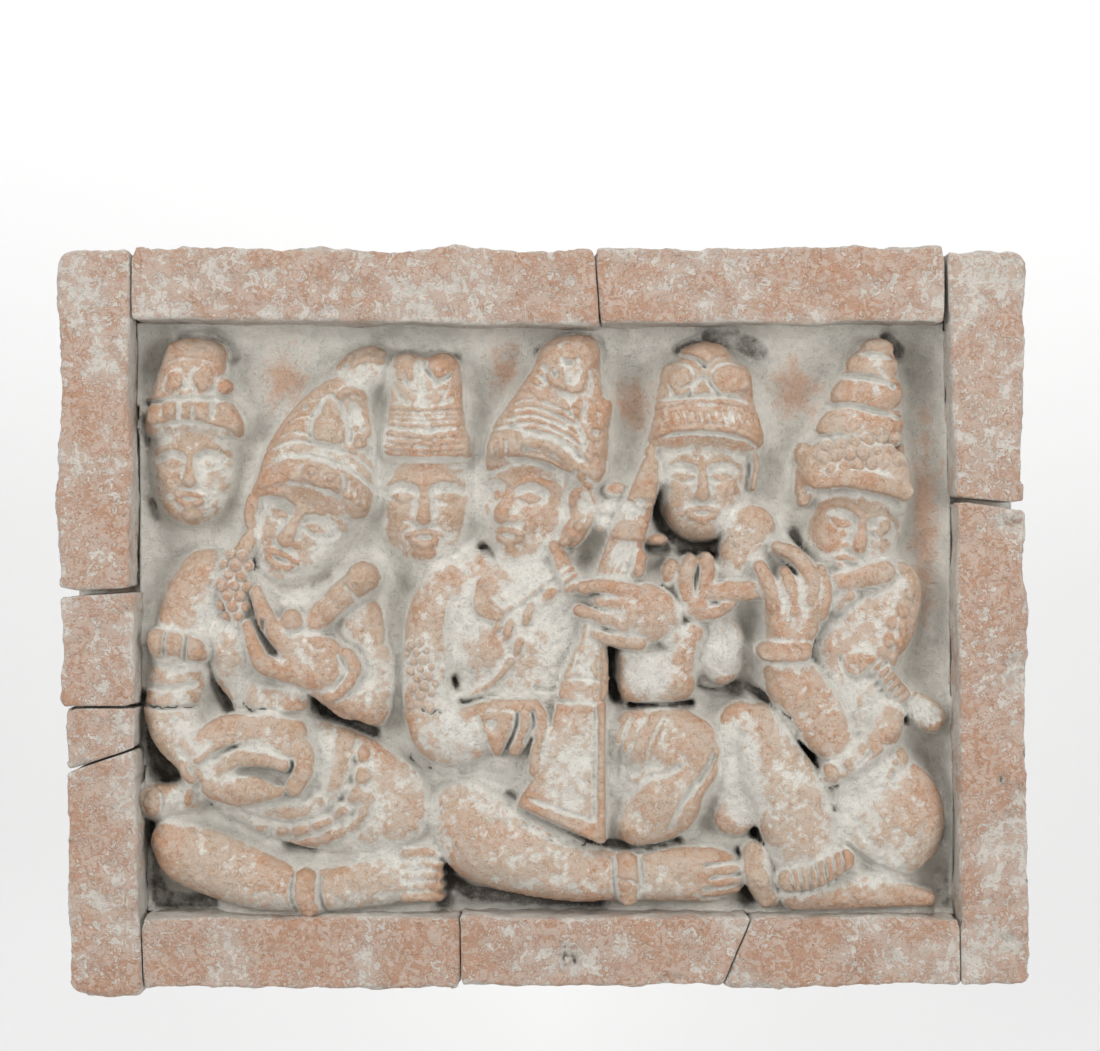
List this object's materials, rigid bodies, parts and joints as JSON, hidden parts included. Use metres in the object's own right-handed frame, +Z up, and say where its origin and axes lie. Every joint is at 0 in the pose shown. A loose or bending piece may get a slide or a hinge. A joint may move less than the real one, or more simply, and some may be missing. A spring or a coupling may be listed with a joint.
{
  "type": "terracotta relief frieze",
  "caption": "Rectangular wall plaque of fired clay: seated musicians and heads in high relief on a sunk ground, framed by thick, uneven clay blocks.",
  "frame": {"origin": "middle of the flat back, where it meets the wall", "axes": "+Z up, +X along the frieze to the viewer's right, +Y into the wall, so the carved face looks along -Y"},
  "size_m": [0.6843, 0.0725, 0.528],
  "materials": {
    "relief_clay": "matt fired clay with pale slip in the hollows",
    "left_stile_upper_clay": "matt fired clay, speckled with pale slip",
    "left_stile_middle_clay": "matt fired clay, speckled with pale slip",
    "left_stile_short_clay": "matt fired clay, speckled with pale slip",
    "left_stile_lower_clay": "matt fired clay, speckled with pale slip",
    "top_rail_left_clay": "matt fired clay, speckled with pale slip",
    "top_rail_right_clay": "matt fired clay, speckled with pale slip",
    "right_stile_upper_clay": "matt fired clay, speckled with pale slip",
    "right_stile_lower_clay": "matt fired clay, speckled with pale slip",
    "bottom_rail_left_clay": "matt fired clay, speckled with pale slip",
    "bottom_rail_middle_clay": "matt fired clay, speckled with pale slip",
    "bottom_rail_right_clay": "matt fired clay, speckled with pale slip"
  },
  "bodies": {
    "root": {"relief_panel": "relief_clay", "left_stile_upper": "left_stile_upper_clay", "left_stile_middle": "left_stile_middle_clay", "left_stile_short": "left_stile_short_clay", "left_stile_lower": "left_stile_lower_clay", "top_rail_left": "top_rail_left_clay", "top_rail_right": "top_rail_right_clay", "right_stile_upper": "right_stile_upper_clay", "right_stile_lower": "right_stile_lower_clay", "bottom_rail_left": "bottom_rail_left_clay", "bottom_rail_middle": "bottom_rail_middle_clay", "bottom_rail_right": "bottom_rail_right_clay"}
  },
  "joints": []
}
